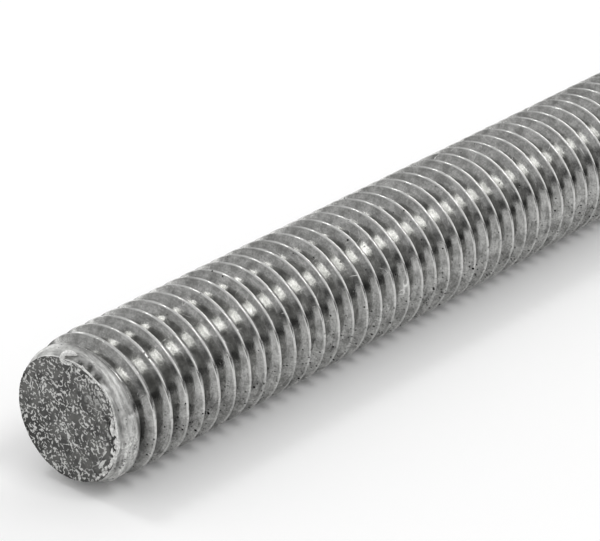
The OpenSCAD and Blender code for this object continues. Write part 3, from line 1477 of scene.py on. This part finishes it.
@dataclass(frozen=True)
class FacedSteel:
    """Steel faced on a lathe: a plain satin end with fine rings. Sizes are in millimetres.

    Attributes:
        colour: The steel.
        ring_spacing: Distance between two rings.
        roughness: Its roughness.
    """

    colour: str = "#9C9C9A"
    ring_spacing: float = 0.12
    roughness: float = 0.34

    def material(self) -> bpy.types.Material:
        """Builds the material.

        Returns:
            The material, which reads Object coordinates.
        """
        at = MetalSurface("faced_steel")
        # A wave texture of scale 1 has a ring every tau / 20
        rings = at.add("ShaderNodeTexWave", {
            "Vector": at.from_axis(), "Scale": math.tau / 20 / (self.ring_spacing * MM), "Distortion": 1.2,
            "Detail": 2.0, "Detail Scale": 0.4}, wave_type="RINGS", rings_direction="X").outputs["Fac"]
        level = at.add(MAP_RANGE, {"Value": rings, "To Min": 0.82, "To Max": 1.0})
        colour = at.add(MIX, (1.0, linear(self.colour), level), data_type="RGBA", blend_type="MULTIPLY")
        return at.finished(colour, self.roughness, rings, strength=0.5, depth=0.004)


@dataclass(frozen=True)
class Finishes:
    """The rod's materials.

    Attributes:
        rolled: The thread's steel.
        sawn: The near face's.
        faced: The far face's.
        burr: The slivers' and chips'.
    """

    rolled: bpy.types.Material
    sawn: bpy.types.Material
    faced: bpy.types.Material
    burr: bpy.types.Material


@dataclass(frozen=True)
class SoftBox:
    """A rectangular studio lamp that faces the rod's middle. Sizes and the distance are in millimetres.

    Attributes:
        name: The lamp's name.
        azimuth: Degrees around from +X towards +Y.
        elevation: Degrees above the floor.
        width: Its size along the floor.
        height: Its size up and down.
        brightness: The level of its face, where 1 is as bright as lit white paper.
        distance: How far it stands from the rod's middle.
    """

    name: str
    azimuth: float
    elevation: float
    width: float
    height: float
    brightness: float
    distance: float = 2400.0

    def place(self) -> None:
        """Adds the lamp to the scene, turned to the origin."""
        around, up = math.radians(self.azimuth), math.radians(self.elevation)
        way = Vector((math.cos(up) * math.cos(around), math.cos(up) * math.sin(around), math.sin(up)))
        data = bpy.data.lights.new(self.name, "AREA")
        data.shape = "RECTANGLE"
        data.size, data.size_y = self.width * MM, self.height * MM
        data.energy = math.pi * data.size * data.size_y * self.brightness
        lamp = bpy.data.objects.new(self.name, data)
        lamp.location = way * self.distance * MM
        lamp.rotation_euler = way.to_track_quat("Z", "Y").to_euler()
        bpy.context.scene.collection.objects.link(lamp)


@dataclass(frozen=True)
class Studio:
    """The pale floor, the lamps, the surroundings and the camera. Distances are in millimetres.

    Attributes:
        camera_from_face: The camera's place, from the middle of the near face.
        tilt_down: How far down the camera looks, in degrees.
        heading: How far it is turned from +Y towards +X, in degrees.
        lens: Its focal length.
        sensor: The width of its sensor.
        floor_half: Half the floor's width.
        card_reach: How far the pale card round the rod reaches.
        card_blend: Half the width over which it fades into the table.
        card_grey: The card.
        table_grey: The table.
        room_light: The room, high up.
        room_dark: The room near the floor.
        lamps: The lamps.
    """

    camera_from_face: tuple[float, float, float] = (-112.55, -116.09, 87.94)
    tilt_down: float = 25.70
    heading: float = 49.36
    lens: float = 173.67
    sensor: float = 36.0
    floor_half: float = 3000.0
    card_reach: float = 59.0
    card_blend: float = 8.0
    card_grey: str = "#F6F6F6"
    table_grey: str = "#7A7A7A"
    room_light: str = "#D8D8D8"
    room_dark: str = "#545454"
    lamps: tuple[SoftBox, ...] = (
        SoftBox("key_box", azimuth=278.5, elevation=58, width=510, height=840, brightness=8.2),
        SoftBox("spot_box", azimuth=99, elevation=64.5, width=380, height=400, brightness=12.5),
        SoftBox("back_wall", azimuth=-2.5, elevation=11, width=3000, height=890, brightness=1.68),
        SoftBox("back_box", azimuth=10, elevation=27, width=750, height=500, brightness=4.6),
        SoftBox("side_wall", azimuth=83.5, elevation=11, width=2550, height=890, brightness=1.5),
    )

    def build(self) -> None:
        """Sets up everything around the rod."""
        self.floor()
        self.surroundings()
        for lamp in self.lamps:
            lamp.place()
        camera = bpy.data.objects.new("camera", bpy.data.cameras.new("camera"))
        camera.location = Vector((FACE_X, 0.0, AXIS_Z)) + Vector(self.camera_from_face) * MM
        camera.rotation_euler = (math.radians(90 - self.tilt_down), 0.0, math.radians(-self.heading))
        camera.data.lens = self.lens
        camera.data.sensor_width = self.sensor
        camera.data.clip_start = 10 * MM
        bpy.context.scene.collection.objects.link(camera)
        bpy.context.scene.camera = camera
        bpy.context.scene.view_settings.view_transform = "Standard"

    def floor(self) -> None:
        """Lays the pale floor under the rod. It is white to the camera, and keeps the shadow.

        What the steel mirrors is a pale card around the rod and a darker table past it.
        """
        half = self.floor_half * MM
        corners = [(-half, -half, 0), (half, -half, 0), (half, half, 0), (-half, half, 0)]
        floor = new_mesh_object("floor", corners, [(0, 1, 2, 3)])
        paint = bpy.data.materials.new("floor_paint")
        paint.use_nodes = True
        tree = paint.node_tree
        add = partial(add_node, tree)
        spot = add("ShaderNodeTexCoord").outputs["Object"]
        size = add(VECTOR_MATH, (spot,), operation="ABSOLUTE")
        sides = add(SEPARATE, (size,)).outputs
        past_end = add(MATH, (sides["X"], CAD_BOX[1][0]), operation="SUBTRACT")
        away = add(MATH, (sides["Y"], past_end), operation="MAXIMUM")
        near, far = (self.card_reach - self.card_blend) * MM, (self.card_reach + self.card_blend) * MM
        dim = add(MAP_RANGE, (away, near, far))
        seen = add("ShaderNodeLightPath").outputs["Is Camera Ray"]
        colour = linear(self.card_grey)
        for share, layer in ((dim, self.table_grey), (seen, "#FFFFFF")):
            colour = add(MIX, (share, colour, linear(layer)), data_type="RGBA")
        for name, source in {"Base Color": colour, "Roughness": 0.9, "Specular IOR Level": 0.0}.items():
            feed(tree, tree.nodes["Principled BSDF"].inputs[name], source)
        floor.data.materials.append(paint)

    def surroundings(self) -> None:
        """Fills the rest of the room with a soft grey that is dark near the floor, mostly in front."""
        world = bpy.data.worlds.new("studio")
        world.use_nodes = True
        tree = world.node_tree
        add = partial(add_node, tree)
        way = add("ShaderNodeTexCoord").outputs["Generated"]
        height = add(VECTOR_MATH, (way, (0.0, 0.1, 1.0)), operation="DOT_PRODUCT")
        share = add(MAP_RANGE, (height, 0.0, 0.16), interpolation_type="SMOOTHSTEP")
        grey = add(MIX, (share, linear(self.room_dark), linear(self.room_light)), data_type="RGBA")
        for name, source in {"Color": grey, "Strength": 1.0}.items():
            feed(tree, tree.nodes["Background"].inputs[name], source)
        bpy.context.scene.world = world


def main() -> None:
    """Builds the rod and its studio, and reports each piece."""
    logging.basicConfig(level=logging.INFO, format="%(name)s: %(message)s")
    Studio().build()
    finishes = Finishes(
        RolledSteel().material(), SawnSteel().material(), FacedSteel().material(), BurrSteel().material())
    rod = ThreadedRod(MetricThread(diameter=10.0, pitch=1.5)).build(finishes)
    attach(rod, "root")
    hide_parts(NODE)
    LOG.info("%s: %d faces, %d points", rod.name, len(rod.data.polygons), len(rod.data.vertices))


if __name__ == "__main__":
    main()
